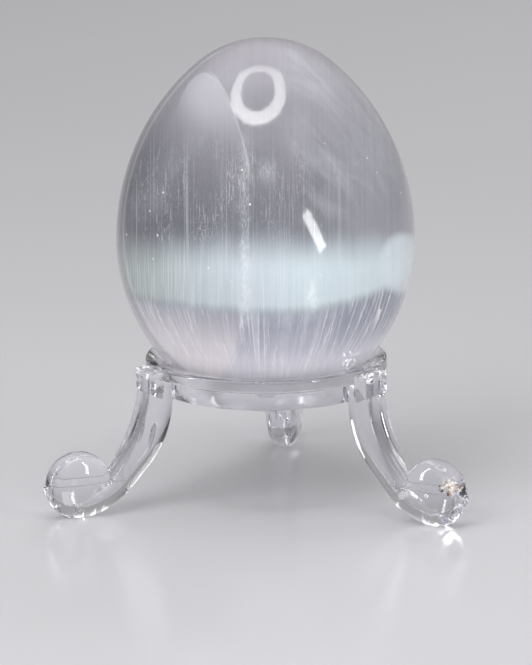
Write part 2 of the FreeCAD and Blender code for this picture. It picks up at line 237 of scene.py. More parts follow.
makeCamera()
print("camera set")


# the studio: a pale floor and soft light

studio = {
    "floorSize": 24.0,
    "floorColour": paint(0.75, 0.745, 0.76),
    "floorCloud": 9.0,              # scale of the floor's faint clouds
    "floorDarker": 0.97,            # their darkest share of its colour
    "floorRoughness": 0.19,
    "skyLevel": 0.07,               # the room at eye level, dark for the clear plastic's sake
    "skyBlue": 1.05,                # how much bluer it is there
    "skyBehind": 0.45,              # the same behind the object
    "skyTop": 0.95,                 # the room overhead
    "behindFrom": (0.55, 0.95),     # where the lighter part behind begins and is full
    "topFrom": (0.26, 0.80),        # the same for the part overhead
    "skyStrength": 0.78,
    "softLamps": {                  # place, size and power
        "keySoft": ((-0.35, -0.50, 0.50), (0.5, 0.4), 3.5),
        "fillSoft": ((0.60, -0.30, 0.22), (0.4, 0.4), 1.95),
        "lowSoft": ((0.03, -0.45, 0.05), (0.5, 0.08), 0.30),
        "backSoft": ((0.20, 0.62, 0.50), (0.5, 0.4), 1.6),
    },
    "softAim": (0, 0, 0.03),
    "ringPower": 0.92,              # round lamp overhead, seen as a bright ring on the egg
    "ringPlace": (-0.027, -0.069, 0.391),
    "ringSize": 0.267,
    "ringHole": 0.60,               # share of the lamp's diameter
    "ringEdge": 0.02,               # softness of the hole's edge
    "ringTilt": -1.3,               # how much stronger it shines towards the front
    "barPower": 0.035,              # short leaning strip at the right, seen as a slanted bar
    "barLow": (0.1255, -0.1180, 0.0360),
    "barHigh": (0.0965, -0.1375, 0.0890),
    "barWidth": 0.018,
    "barAim": (0.0101, -0.0223, 0.0501),
    "stripPower": 0.8,              # tall strips at both sides, seen only in the clear stand
    "stripPlaces": {"leftStrip": (-0.42, -0.16, 0.20), "rightStrip": (0.40, -0.30, 0.22)},
    "stripAim": (0, 0, 0.02),
    "stripSize": (0.05, 0.40),
}


# an area lamp aimed at a point, its longer side along a given line where one is given;
# showGloss says whether polished surfaces mirror it
def makeLamp(name, place, target, size, power, showGloss=True, shape="RECTANGLE", line=None):
    lamp = bpy.data.lights.new(name, "AREA")
    lamp.shape, lamp.size, lamp.size_y = shape, size[0], size[1]
    lamp.energy = power
    holder = addObject(name, lamp)
    back = (Vector(place) - Vector(target)).normalized()
    side = Vector((1, 0, 0))
    if line or abs(back.z) < 0.999:       # one that looks straight down keeps that side
        side = Vector(line or (0, 0, 1)).cross(back).normalized()
    turned = Matrix((side, back.cross(side), back)).transposed()
    holder.matrix_world = Matrix.Translation(place) @ turned.to_4x4()
    holder.visible_camera = False
    holder.visible_glossy = showGloss
    return holder


def makeSoftLamp(name):
    place, size, power = studio["softLamps"][name]
    return makeLamp(name, place, studio["softAim"], size, power, False)


# a lamp that lights the given pieces and nothing else
def keepTo(lamp, pieces):
    lit = bpy.data.collections.new(lamp.name + "Pieces")
    for piece in pieces:
        lit.objects.link(piece)
    lamp.light_linking.receiver_collection = lit


# only an outer band of the round lamp shines, more strongly towards the front
def cutHole(lamp):
    lamp.use_nodes = True
    lamp.node_tree.nodes.clear()
    bench = NodeBench(lamp.node_tree)
    spot = bench.split(bench.add("NewGeometry").outputs["Parametric"])
    right, up = bench.minus(spot["X"], 0.5), bench.minus(spot["Y"], 0.5)
    hole, edge = studio["ringHole"] / 2, studio["ringEdge"]
    band = bench.step(bench.reach(right, up), hole - edge, hole + edge)
    tilt = bench.line(up, studio["ringTilt"], 1.0)
    glow = bench.add("Emission", Strength=bench.times(band, tilt))
    output = bench.add("OutputLight")
    lamp.node_tree.links.new(glow.outputs[0], output.inputs["Surface"])


def makeFloor():
    half = studio["floorSize"] / 2
    mesh = bpy.data.meshes.new("studioFloor")
    mesh.from_pydata([(-half, -half, 0), (half, -half, 0), (half, half, 0), (-half, half, 0)],
                     [], [(0, 1, 2, 3)])
    floor = addObject("studioFloor", mesh)
    material, bench, shader = newMaterial("paleFloor")
    place = bench.add("TexCoord").outputs["Object"]
    colour = studio["floorColour"]
    darker = tuple(studio["floorDarker"] * share for share in colour[:3]) + (1.0,)
    cloud = bench.noise(place, studio["floorCloud"], 3.0)
    bench.feedAll(shader, {"Base Color": bench.blend(cloud, darker, colour),
                           "Roughness": studio["floorRoughness"]})
    mesh.materials.append(material)
    return floor


def makeSky():
    world = bpy.data.worlds.new("softRoom")
    world.use_nodes = True
    world.node_tree.nodes.clear()
    bench = NodeBench(world.node_tree)
    direction = bench.split(bench.add("TexCoord").outputs["Generated"])
    level, behind, top = studio["skyLevel"], studio["skyBehind"], studio["skyTop"]
    around = bench.blend(bench.step(direction["Y"], *studio["behindFrom"]),
                         (level, level, level * studio["skyBlue"], 1), (behind, behind, behind, 1))
    gradient = bench.blend(bench.step(direction["Z"], *studio["topFrom"]), around, (top, top, top, 1))
    background = bench.add("Background", Color=gradient, Strength=studio["skyStrength"])
    output = bench.add("OutputWorld")
    world.node_tree.links.new(background.outputs[0], output.inputs["Surface"])
    bpy.context.scene.world = world


def makeRoomLamps():
    makeSoftLamp("keySoft")
    makeSoftLamp("fillSoft")
    place = Vector(studio["ringPlace"])
    ring = makeLamp("ringLamp", place, place - Vector((0, 0, 1)), (studio["ringSize"],) * 2,
                    studio["ringPower"], True, "DISK")
    cutHole(ring.data)


studioFloor = makeFloor()
makeSky()
makeRoomLamps()
bpy.context.scene.view_settings.view_transform = "Standard"
bpy.context.scene.cycles.max_bounces = 32            # light turns often inside clear plastic
bpy.context.scene.cycles.transmission_bounces = 32
bpy.context.scene.cycles.glossy_bounces = 24
print("studio set")


# marks of handling, used by stone and plastic alike: smears in the polish and a slow ripple

handling = {
    "smearNoise": (3.0, 0.55, 0.6),  # detail, roughness and warp
    "smearSeen": (0.45, 0.75),       # noise values between which a smear comes up
    "rippleShare": 0.6,              # the ripple's scale, as a share of the smears'
}


def makeHandlingGroup():
    group, bench, given, result = newGroup(
        "handlingMarks", {"Vector": None, "Polish": 0.05, "Smears": 0.1, "Scale": 200.0},
        ("Roughness", "Ripple"))
    smear = bench.noise(given["Vector"], given["Scale"], *handling["smearNoise"])
    patch = bench.step(smear, *handling["smearSeen"])
    wide = bench.times(given["Scale"], handling["rippleShare"])
    bench.feedAll(result, {"Roughness": bench.line(patch, given["Smears"], given["Polish"]),
                           "Ripple": bench.noise(given["Vector"], wide, 2.0)})
    return group


handlingGroup = makeHandlingGroup()


# returns roughness and ripple
def addHandling(bench, place, polish, smears, scale):
    node = bench.add("Group", {"node_tree": handlingGroup},
                     Vector=place, Polish=polish, Smears=smears, Scale=scale)
    return node.outputs["Roughness"], node.outputs["Ripple"]


# The stone egg. Its outline is in metres. Its markings are in millimetres from the stone's
# middle, across from left to right and along the fibres, and their colours are display values.
# A pair of places says where something begins and where it is full.

stone = {
    "bluntRound": 0.0188,           # radius of the lower end
    "narrowRound": 0.0176,          # radius of the upper end
    "widestHeight": 0.0294,         # above the egg's own bottom tip
    "alongRows": 190,
    "aroundColumns": 300,
    "centre": (0, 0, 0.040),
    "turn": 5.7,                    # the fibres' plane faces the photograph, degrees
    "lean": -11.9,                  # and leans by the photograph's elevation
    "polish": 0.10,
    "smears": 0.08,
    "smearScale": 0.60,
    "ripple": 0.15,
    "rippleDepth": 0.0002,
    "index": 1.52,                  # how strongly it bends light
    "coat": 0.6,
    "coatRoughness": 0.03,
    "subsurface": 0.35,
    "subsurfaceScale": 0.004,
    "fibreStretch": 0.03,           # how slowly a noise varies the way it is stretched
    "fibreChange": (0.62, 0.80),    # where the other takes over, as across / (across + depth)
    "left": (-4.0, -21.0),
    "right": (6.0, 20.0),
    "sway": 3.0,                    # how far the zones' soft borders rise and fall
    "comb": 1.6,                    # how far single threads cross the band's borders
    "combLower": 0.7,               # the share of that at its lower border
    "wobble": (0.5, 1.6),           # scale and width of the vein's wandering
    "clearTop": 38.0,               # height where the clear stone's colours end
    "clearStone": ((0.0, (0.49, 0.50, 0.53)), (5.0, (0.475, 0.482, 0.51)), (9.0, (0.47, 0.472, 0.50)),
                   (14.0, (0.48, 0.477, 0.505)), (19.0, (0.505, 0.502, 0.533)),
                   (24.0, (0.535, 0.527, 0.558)), (30.0, (0.57, 0.56, 0.59)),
                   (37.0, (0.58, 0.565, 0.60))),
    "wispLean": -40,                # degrees
    "wispSize": (3.4, 6.0, 15.0),
    "wispNoise": (4.0, 0.6, 0.5),   # detail, roughness and warp
    "wispSeen": (0.40, 0.75),       # noise values between which a wisp comes up
    "paintedShadeHigh": ((0.7, 4.5), (20.5, 5.5)),   # painted shade high up, below the ring's highlight: centre and width, across and along
    "veilNoise": (0.075, 3.0, 0.5, 0.4),   # the same after its scale
    "veilRight": 0.2,               # how much more there is at the right
    "veilSeen": (0.48, 0.80),
    "milkTop": -8.0,                # height where the milky stone's colours start
    "milkDepth": 20.0,              # and how far down they run
    # painted light: both stones run to near white towards the foot, a glow of light through the tip
    "pinkStoneAndGlow": ((0.0, (0.65, 0.665, 0.71)), (0.07, (0.67, 0.67, 0.71)), (0.16, (0.74, 0.73, 0.76)),
                  (0.30, (0.86, 0.84, 0.865)), (0.48, (0.96, 0.94, 0.955)), (1.0, (1.0, 0.98, 0.985))),
    "lilacStoneAndGlow": ((0.0, (0.65, 0.68, 0.72)), (0.14, (0.635, 0.645, 0.70)),
                   (0.30, (0.735, 0.74, 0.79)), (0.46, (0.89, 0.885, 0.92)), (1.0, (1.0, 0.985, 0.99))),
    "lilacShade": (0.55, 0.12),     # where in that depth the lilac stone is shaded
    "pinkSide": (-4.2, -4.9),       # the pink sheet's edge, across
    "pinkBend": (11.5, 4.6),        # so far below the band's edge, it is so much further left
    "pinkWander": (0.35, 1.8),      # scale and width of its wandering
    "sheetRim": (-4.1, 0.22),       # place and width of the light line along it
    "streakJag": ((1, 1, 0.45), 1.1),  # stretch and scale of what tears the streaks' edges
    "streakShake": 0.55,            # how far they are torn aside
    "streakRadius": 20.0,           # distance from the axis where they have their own width
    "sheetCount": 8.0,              # torn sheets in one turn of their noise
    "glowPower": 2.4,               # how close to a sheet's edge its glow keeps
    "glowShare": (-0.26, 0.50),     # how much less of it the pink sheet has, and its full share
    "tearFrom": (0.80, 0.95),       # the bright strip along a sheet's edge
    "tearShare": (-0.26, 0.48),
    "hairWidth": 0.020,
    "bandWidth": 50.0,
    # painted sheen: the band's colours, for the silky shine of the fibres
    "bandSheen": ((0.0, (0.60, 0.645, 0.635)), (0.12, (0.655, 0.69, 0.69)), (0.24, (0.725, 0.76, 0.78)),
                  (0.45, (0.775, 0.81, 0.84)), (0.62, (0.80, 0.85, 0.87)), (1.0, (0.82, 0.865, 0.89))),
    "bandTop": (6.2, -1.6),
    "bandFoot": (-9.2, -6.8),
    "milkFrom": (-6.6, -9.4),
    "bandMiddle": 2.0,              # the band's lower edge rises to both sides of this place
    "bandBow": (0.0045, 0.0115),    # how fast it rises to the left and right, per millimetre
    "bowChange": (-2.0, 4.0),       # where one goes over into the other
    "bandSheenEnd": (22.6, -0.3),        # middle and size of the band's rounder end at the right
    "bandEndSize": (3.8, 4.7),
    "bandEndEdge": (1.5, 0.6),      # its soft edge, as squared shares of that size
    "threadDepth": 0.22,            # how much the main threads darken and lighten the stone
    "brightLeft": (0.20, 0.16),     # what the left side adds to the bright threads, and their share
    "bandLeft": (14.0, -4.0),       # the band's own threads grow stronger to the left
    "bandThreads": (0.24, 0.06),
    "scratches": {"longScratch": 0.34, "midScratch": 0.34, "shortScratch": 0.36},    # their shares
    "vein": (-3.4, 0.7),            # place across, and width
    "veinLow": (4.0, 0.0),          # from here down it is stronger
    "veinShare": (0.35, 0.32),
    "facetFoot": (-2.7, 13.8),      # the facet's right edge starts here and curves to the left
    "facetBend": 0.0195,
    "facetSideRun": ((12.0, 16.0), (34.0, 31.0)),
    "facetTop": (-10.0, 31.0),      # its upper edge is highest here and curves down
    "facetTopBend": 0.28,
    "facetTopRun": (-14.5, -12.5),
    "facetSoft": (0.1, -0.5),       # softness of both edges
    "facetCorner": ((1.0, 0.2), (0.6, 0.0)),   # where each edge's line ends at the other
    "facetShake": 0.4,              # how far both lines follow the vein's wandering
    "facetFade": (-11.0, -4.0),     # the facet fades away to the left
    "facetEdge": 0.30,              # width of the light line along both
    # painted highlights: two pale spots
    "paintedGlints": ((0.2, 14.6, 1.3, 1.7, 0.28), (7.6, -5.4, 0.9, 2.2, 1.30)),   # place, width, height, share
    "specks": (0.30, (0.075, 0.045)),  # how many in a millimetre, and their size
    "broken": {                     # the share that follows patches or grit, and what is always there
        "sheetGlow": (0.7, 0.3), "sheetRim": (0.35, 0.15), "scratch": (0.8, 0.2),
        "vein": (0.7, 0.3), "paintedGlint": (0.6, 0.4)},
    "skinDepth": (9.4, 7.6),        # the left side's clearer skin, painted as a darker rim, from its middle plane
    "skinLine": (9.6, 0.45),
    "threads": {                    # how many across and along a millimetre, detail, warp, start,
        "main": (1.9, 0.035, 3.0, 0.0, 0.0, None),           # and the noise values between which a
        "broad": (0.30, 0.025, 2.0, 0.0, 7.0, None),         # thread comes up, where it has such
        "bright": (3.4, 0.012, 1.0, 0.0, 91.0, (0.58, 0.72)),
        "band": (5.2, 0.07, 1.0, 0.0, 131.0, (0.55, 0.66)),
        "longScratch": (4.2, 0.20, 1.5, 0.3, 71.4, (0.58, 0.68)),
        "midScratch": (6.0, 0.8, 1.5, 0.3, 102.0, (0.60, 0.70)),
        "shortScratch": (7.5, 2.6, 1.5, 0.3, 127.5, (0.58, 0.70)),
    },
    "streaks": {                    # the same without detail and warp, spread from the axis
        "sheets": (0.34, 0.012, 3.7, None),
        "patches": (0.30, 0.09, 31.0, (0.44, 0.58)),
        "hairs": (0.85, 0.035, 53.0, None),
        "hairPatches": (0.45, 0.16, 77.0, (0.49, 0.60)),
    },
    "patches": {                    # how many in a millimetre each way, detail, and where seen
        "grit": ((4.5, 0.2, 1.4), 3.0, (0.42, 0.62)),
        "clumps": ((0.35, 0.35, 0.12), 2.0, (0.40, 0.64)),
    },
    "marks": {                      # colour, share, and steps that bound the marking's area
        "leftShade": ((0.39, 0.395, 0.425), 0.60, ("along", 27.0, 14.0)),
        "rightLight": ((0.64, 0.64, 0.67), 0.50),
        "wisp": ((0.71, 0.715, 0.745), 0.42, ("across", -1.0, 8.0), ("along", 5.0, 12.0)),
        # painted shade
        "paintedShadeHigh": ((0.42, 0.415, 0.445), 1.0, ("depth", 4.0, -4.0)),
        "veil": ((0.67, 0.67, 0.70), 0.35),
        "lilacShade": ((0.55, 0.57, 0.62), 1.0),
        "sheetGlow": ((0.95, 0.94, 0.96), 1.0),
        "sheetTear": ((0.98, 0.97, 0.985), 1.0),
        "hair": ((0.98, 0.975, 0.985), 0.42),
        "sheetRim": ((0.98, 0.97, 0.98), 1.0),
        # painted sheen: the band's whiter end
        "bandSheenEnd": ((0.85, 0.89, 0.91), 0.8),
        "brightThread": ((0.86, 0.87, 0.885), 1.0, ("along", 26.0, 6.0)),
        "bandThread": ((0.90, 0.93, 0.945), 1.0),
        "scratch": ((0.82, 0.82, 0.85), 1.0,
                    ("along", 0.5, 5.0), ("along", 24.0, 12.0), ("across", 24.0, -4.0)),
        "vein": ((0.90, 0.915, 0.93), 1.0, ("along", 24.0, 12.0), ("along", -12.0, -7.0)),
        "facet": ((0.75, 0.745, 0.775), 0.42, ("along", 18.0, 27.0), ("depth", 4.0, -4.0)),
        "facetEdge": ((0.86, 0.85, 0.88), 0.26, ("depth", 4.0, -4.0)),
        # painted highlight
        "paintedGlint": ((0.90, 0.93, 0.95), 1.0, ("depth", 4.0, -4.0)),
        "speck": ((0.95, 0.95, 0.96), 0.7, ("along", -5.0, 1.0), ("along", 22.0, 18.0)),
        # painted shade: a darker rim down the left side
        "skinShade": ((0.42, 0.425, 0.455), 0.42, ("across", -4.0, -8.0)),
        "skinLine": ((0.86, 0.87, 0.88), 0.22, ("across", -4.0, -8.0), ("depth", 4.0, -4.0)),
    },
}


# Each flank is an arc centred on the widest level that runs smoothly into the arc of its end.
# With a the half width, h the height to the tip and c the end's radius, the flank's radius is
# (a squared + (h - c) squared - c squared) / (2 (a - c)). The outline is then followed by the
# direction of its normal, from straight down to straight up.
def eggRows(low, high):
    half, level = (high.x - low.x) / 2, low.z + stone["widestHeight"]
    slope = np.linspace(-math.pi / 2, math.pi / 2, stone["alongRows"])
    reach, rise = np.zeros_like(slope), np.zeros_like(slope)
    for side, height, end in ((-1, level - low.z, stone["bluntRound"]),
                              (1, high.z - level, stone["narrowRound"])):
        drop = height - end
        flank = (half ** 2 + drop ** 2 - end ** 2) / (2 * (half - end))
        change = math.atan2(drop, flank - half)
        here = slope * side >= 0
        onEnd = here & (np.abs(slope) > change)
        onFlank = here & ~onEnd
        reach[onFlank] = half - flank + flank * np.cos(slope[onFlank])
        rise[onFlank] = level + flank * np.sin(slope[onFlank])
        reach[onEnd] = end * np.cos(slope[onEnd])
        rise[onEnd] = level + side * drop + end * np.sin(slope[onEnd])
    around = np.linspace(0, 2 * math.pi, stone["aroundColumns"], endpoint=False)
    return np.stack([reach[:, None] * np.cos(around), reach[:, None] * np.sin(around),
                     rise[:, None] + 0 * around], -1)[None]


# Threads that run along Z. Two noises, one stretched along Y and one along X, meet round the
# sides, so that the threads stay long and thin wherever the surface faces.
def makeFibreGroup():
    group, bench, given, result = newGroup(
        "fibreField", {"Vector": None, "Cross": 1.0, "Along": 0.05, "Detail": 2.0, "Warp": 0.0,
                       "Shift": 0.0}, ("Value",))
    across, depth, along = bench.split(given["Vector"])
    fields = []
    slow = stone["fibreStretch"]
    for acrossShare, depthShare in ((1.0, slow), (slow, 1.0)):
        fine = bench.times(given["Cross"], acrossShare)
        place = bench.add("CombineXYZ", X=bench.line(across, fine, given["Shift"]),
                          Y=bench.times(depth, bench.times(given["Cross"], depthShare)),
                          Z=bench.times(along, given["Along"])).outputs[0]
        fields.append(bench.noise(place, 1.0, given["Detail"], 0.55, given["Warp"]))
    wide, deep = bench.math("ABSOLUTE", across), bench.math("ABSOLUTE", depth)
    share = bench.math("DIVIDE", wide, bench.plus(bench.plus(wide, deep), 0.001))
    side = bench.step(share, *stone["fibreChange"])
    facing = bench.times(fields[0], bench.minus(1.0, side))
    bench.feed(result.inputs["Value"], bench.plus(bench.times(fields[1], side), facing))
    return group


fibreGroup = makeFibreGroup()


# Paints the stone's colour one layer over another, in Object coordinates turned so that Z runs
# along the fibres. A silky band, a painted sheen, crosses them at the widest level; above it the
# stone is greyer and clearer with short scratches, and below it milky sheets fan out from the
# foot, painted paler towards it as a glow of light through the tip.
class StonePainter(NodeBench):
    def __init__(self, tree):
        super().__init__(tree)
        turned = self.add("Mapping", {"vector_type": "TEXTURE"},
                          Vector=self.add("TexCoord").outputs["Object"],
                          Location=stone["centre"], Scale=(0.001, 0.001, 0.001),
                          Rotation=(math.radians(stone["lean"]), 0, math.radians(stone["turn"])))
        self.place = turned.outputs["Vector"]
        self.across, self.depth, self.along = self.split(self.place)
        self.left = self.step(self.across, *stone["left"])
        self.right = self.step(self.across, *stone["right"])
        self.threads = self.minus(self.threadsOf("main"), 0.5)
        self.sway = self.times(self.minus(self.threadsOf("broad"), 0.5), stone["sway"])
        self.wobble = self.wander(*stone["wobble"])
        self.grit = self.patchesOf("grit")
        # height above the band's lower edge, which is bowed by the square of the way to its middle
        aside = self.minus(self.across, stone["bandMiddle"])
        bowLeft, bowRight = stone["bandBow"]
        bow = self.line(self.step(aside, *stone["bowChange"]), bowLeft - bowRight, -bowLeft)
        self.edgeHeight = self.plus(self.along, self.times(aside, aside, bow))

    def threadsOf(self, name):
        cross, along, detail, warp, start, seen = stone["threads"][name]
        value = self.add("Group", {"node_tree": fibreGroup}, Vector=self.place, Cross=cross,
                         Along=along, Detail=detail, Warp=warp, Shift=start).outputs["Value"]
        return self.step(value, *seen) if seen else value

    # a noise that is slow along Z, across a vector made beforehand
    def streaksOf(self, name, vector):
        cross, along, start, seen = stone["streaks"][name]
        value = self.noise(self.stretch(vector, (cross, cross, along), (0, 0, start)), 1.0, 1.0, 0.55)
        return self.step(value, *seen) if seen else value

    def patchesOf(self, name):
        scale, detail, seen = stone["patches"][name]
        return self.step(self.noise(self.stretch(self.place, scale), 1.0, detail), *seen)

    # how strong a marking is where patches or grit break it up
    def broken(self, field, name):
        return self.line(field, *stone["broken"][name])

    # a noise that strays by up to half the width to both sides
    def wander(self, scale, width):
        return self.times(self.minus(self.noise(self.place, scale, 3.0), 0.5), width)

    # a colour with a marking laid over it, where its pattern and its area say
    def over(self, colour, pattern, mark):
        tone, share, *area = stone["marks"][mark]
        for way, start, full in area:
            pattern = self.times(pattern, self.step(getattr(self, way), start, full))
        return self.blend(self.times(pattern, share), colour, paint(*tone))

    def cover(self, pattern, mark):
        self.colour = self.over(self.colour, pattern, mark)

    # grey, clear stone above the band, darker at the left, with wisps and veils at the right
    def paintClearStone(self):
        top = stone["clearTop"]
        height = self.math("DIVIDE", self.plus(self.along, self.sway), top)
        self.colour = self.ramp(height, [(here / top, tone) for here, tone in stone["clearStone"]])
        self.cover(self.left, "leftShade")
        self.cover(self.right, "rightLight")
        slant = self.add("Mapping", {"vector_type": "TEXTURE"}, Vector=self.place,
                         Rotation=(0, math.radians(stone["wispLean"]), 0),
                         Scale=stone["wispSize"]).outputs["Vector"]
        wisps = self.noise(slant, 1.0, *stone["wispNoise"])
        self.cover(self.step(wisps, *stone["wispSeen"]), "wisp")
        acrossBell, alongBell = stone["paintedShadeHigh"]
        paintedShadeHigh = self.times(self.bell(self.across, *acrossBell), self.bell(self.along, *alongBell))
        # painted shade: a darker patch high in the middle
        self.cover(paintedShadeHigh, "paintedShadeHigh")
        veil = self.line(self.right, stone["veilRight"], self.noise(self.place, *stone["veilNoise"]))
        self.cover(self.step(veil, *stone["veilSeen"]), "veil")

    # Milky stone below the band: a pinkish sheet at the left, whose edge curves away from the
    # middle with the fourth power of the depth, and clearer lilac stone at the right. Both turn near
    # white towards the foot, the stone's milky tone with a painted glow of light through the tip.
    def makeMilkyStone(self):
        depth, bend = stone["pinkBend"]
        down = self.line(self.along, -1 / depth, stone["milkTop"] / depth)
        down = self.times(down, down)
        wandered = self.plus(self.across, self.wander(*stone["pinkWander"]))
        edge = self.line(self.times(down, down), bend, wandered)
        pinkSide = self.step(edge, *stone["pinkSide"])
        low = self.math("DIVIDE", self.minus(stone["milkTop"], self.edgeHeight), stone["milkDepth"])
        lilac = self.ramp(low, stone["lilacStoneAndGlow"])
        shade = self.times(self.right, self.step(low, *stone["lilacShade"]))
        lilac = self.over(lilac, shade, "lilacShade")
        milky = self.blend(pinkSide, lilac, self.ramp(low, stone["pinkStoneAndGlow"]))
        return self.addTornSheets(milky, pinkSide, self.bell(edge, *stone["sheetRim"]))

    # Jagged streaks that run down towards the foot on every side, fainter in the pink sheet. A
    # place is reached by its direction from the stone's own axis and shaken a little, so each
    # streak has a torn edge.
    def addTornSheets(self, milky, pinkSide, rim):
        stretch, scale = stone["streakJag"]
        jag = self.noise(self.stretch(self.place, stretch), scale, 3.0, 0.6)
        jag = self.times(self.minus(jag, 0.5), stone["streakShake"])
        spread = self.math("DIVIDE", stone["streakRadius"],
                           self.math("MAXIMUM", self.reach(self.across, self.depth), 1.0))
        fan = self.add("CombineXYZ", X=self.times(self.plus(self.across, jag), spread),
                       Y=self.times(self.plus(self.depth, jag), spread), Z=self.along).outputs[0]
        layer = self.math("FRACT", self.times(self.streaksOf("sheets", fan), stone["sheetCount"]))
        patches = self.streaksOf("patches", fan)
        glow = self.math("POWER", layer, stone["glowPower"])
        glow = self.times(glow, self.broken(patches, "sheetGlow"))
        glow = self.times(glow, self.line(pinkSide, *stone["glowShare"]))
        milky = self.over(milky, glow, "sheetGlow")
        tear = self.times(self.step(layer, *stone["tearFrom"]), patches)
        tear = self.times(tear, self.line(pinkSide, *stone["tearShare"]))
        milky = self.over(milky, tear, "sheetTear")
        hairs = self.bell(self.streaksOf("hairs", fan), 0.5, stone["hairWidth"])
        milky = self.over(milky, self.times(hairs, self.streaksOf("hairPatches", fan)), "hair")
        return self.over(milky, self.times(rim, self.broken(patches, "sheetRim")), "sheetRim")

    # the band, a painted sheen for the fibres' silky shine: soft above, firmer below, with a rounder,
    # whiter end at the right
    def paintBandSheen(self, milky):
        comb = self.times(self.threads, stone["comb"])
        lower = self.line(comb, stone["combLower"], self.edgeHeight)
        upper = self.plus(self.plus(self.along, comb), self.sway)
        self.colour = self.blend(self.step(lower, *stone["milkFrom"]), self.colour, milky)
        self.inBand = self.times(self.step(upper, *stone["bandTop"]),
                                 self.step(lower, *stone["bandFoot"]))
        width = stone["bandWidth"]
        share = self.math("DIVIDE", self.plus(self.across, width / 2), width)
        self.colour = self.blend(self.inBand, self.colour, self.ramp(share, stone["bandSheen"]))
        aside, above = [self.math("DIVIDE", self.minus(value, middle), size) for value, middle, size in
                        zip((self.across, self.along), stone["bandSheenEnd"], stone["bandEndSize"])]
        away = self.plus(self.times(aside, aside), self.times(above, above))
        self.cover(self.step(away, *stone["bandEndEdge"]), "bandSheenEnd")

    # threads through all of it, with brighter lines among them, above all in the band
    def addThreads(self):
        thread = self.line(self.threads, stone["threadDepth"], 1.0)
        grey = self.add("CombineColor", Red=thread, Green=thread, Blue=thread).outputs[0]
        self.colour = self.blend(1.0, self.colour, grey, "MULTIPLY")
        leftMore = self.line(self.left, *stone["brightLeft"])
        self.cover(self.times(self.threadsOf("bright"), leftMore), "brightThread")
        leftMore = self.line(self.step(self.across, *stone["bandLeft"]), *stone["bandThreads"])
        self.cover(self.times(self.threadsOf("band"), self.inBand, leftMore), "bandThread")

    # short scratches in the clearer part, in clumps and denser at the left
    def addScratches(self):
        dense = self.broken(self.patchesOf("clumps"), "scratch")
        for kind, share in stone["scratches"].items():
            self.cover(self.times(self.threadsOf(kind), dense, share), "scratch")

    # the rough vein left of the middle, stronger from the band down
    def addVein(self):
        vein = self.bell(self.plus(self.across, self.wobble), *stone["vein"])
        rough = self.times(vein, self.broken(self.grit, "vein"))
        share = self.line(self.step(self.along, *stone["veinLow"]), *stone["veinShare"])
        self.cover(self.times(rough, share), "vein")

    # A facet at the upper left. Its right edge is a parabola that runs up from the vein, its
    # upper edge another, and a thin light line follows both.
    def addFacet(self):
        (footAcross, footAlong), (topAcross, topAlong) = stone["facetFoot"], stone["facetTop"]
        climb = self.minus(self.along, footAlong)
        side = self.line(self.times(climb, climb), stone["facetBend"],
                         self.minus(self.across, footAcross))
        aboutTop = self.minus(self.across, topAcross)
        roof = self.line(self.times(aboutTop, aboutTop), stone["facetTopBend"],
                         self.minus(self.along, topAlong))
        soft, width = stone["facetSoft"], stone["facetEdge"]
        inside = self.times(self.step(side, *soft), self.step(roof, *soft))
        self.cover(self.times(inside, self.step(side, *stone["facetFade"])), "facet")
        shaken = self.times(self.wobble, stone["facetShake"])
        fromFoot, toTop = [self.step(self.along, *run) for run in stone["facetSideRun"]]
        sideEnd, roofEnd = stone["facetCorner"]
        sideRun = self.times(fromFoot, toTop, self.step(roof, *sideEnd))
        roofRun = self.times(self.step(side, *roofEnd), self.step(self.across, *stone["facetTopRun"]))
        sideLine = self.times(self.bell(self.plus(shaken, side), 0.0, width), sideRun)
        roofLine = self.times(self.bell(self.plus(shaken, roof), 0.0, width), roofRun)
        self.cover(self.math("MAXIMUM", sideLine, roofLine), "facetEdge")

    # two small painted highlights, pale cloudy spots, one high in the middle and one in the band
    def addPaintedGlints(self):
        for across, along, width, height, share in stone["paintedGlints"]:
            paintedGlint = self.times(self.bell(self.plus(self.across, self.wobble), across, width),
                              self.bell(self.along, along, height), self.broken(self.grit, "paintedGlint"))
            self.cover(self.times(paintedGlint, share), "paintedGlint")

    # a few bright specks
    def addSpecks(self):
        count, size = stone["specks"]
        cells = self.add("TexVoronoi", Vector=self.place, Scale=count)
        self.cover(self.step(cells.outputs["Distance"], *size), "speck")

    # a clearer skin down the left side, painted darker as a shaded rim, with a thin bright line where
    # it ends
    def addSkinAndShade(self):
        aside = self.math("ABSOLUTE", self.depth)
        self.cover(self.step(aside, *stone["skinDepth"]), "skinShade")
        self.cover(self.bell(aside, *stone["skinLine"]), "skinLine")


def makeSelenite():
    material, bench, shader = newMaterial("bandedSelenite")
    painter = StonePainter(bench.tree)
    painter.paintClearStone()
    painter.paintBandSheen(painter.makeMilkyStone())
    painter.addThreads()
    painter.addScratches()
    painter.addVein()
    painter.addFacet()
    painter.addPaintedGlints()
    painter.addSpecks()
    painter.addSkinAndShade()
    roughness, ripple = addHandling(bench, painter.place, stone["polish"], stone["smears"],
                                    stone["smearScale"])
    bump = bench.add("Bump", Strength=stone["ripple"], Distance=stone["rippleDepth"],
                     Height=ripple)
    bench.feedAll(shader, {
        "Base Color": painter.colour, "Roughness": roughness, "Normal": bump.outputs["Normal"],
        "IOR": stone["index"], "Coat Weight": stone["coat"],
        "Coat Roughness": stone["coatRoughness"], "Subsurface Weight": stone["subsurface"],
        "Subsurface Radius": (1.0, 0.97, 0.95), "Subsurface Scale": stone["subsurfaceScale"]})
    return material


def makeEgg():
    egg = closedSurface("eggStone", eggRows(*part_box("egg")))
    egg.data.materials.append(makeSelenite())
    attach(egg, "egg")
    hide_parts("egg")
    return egg


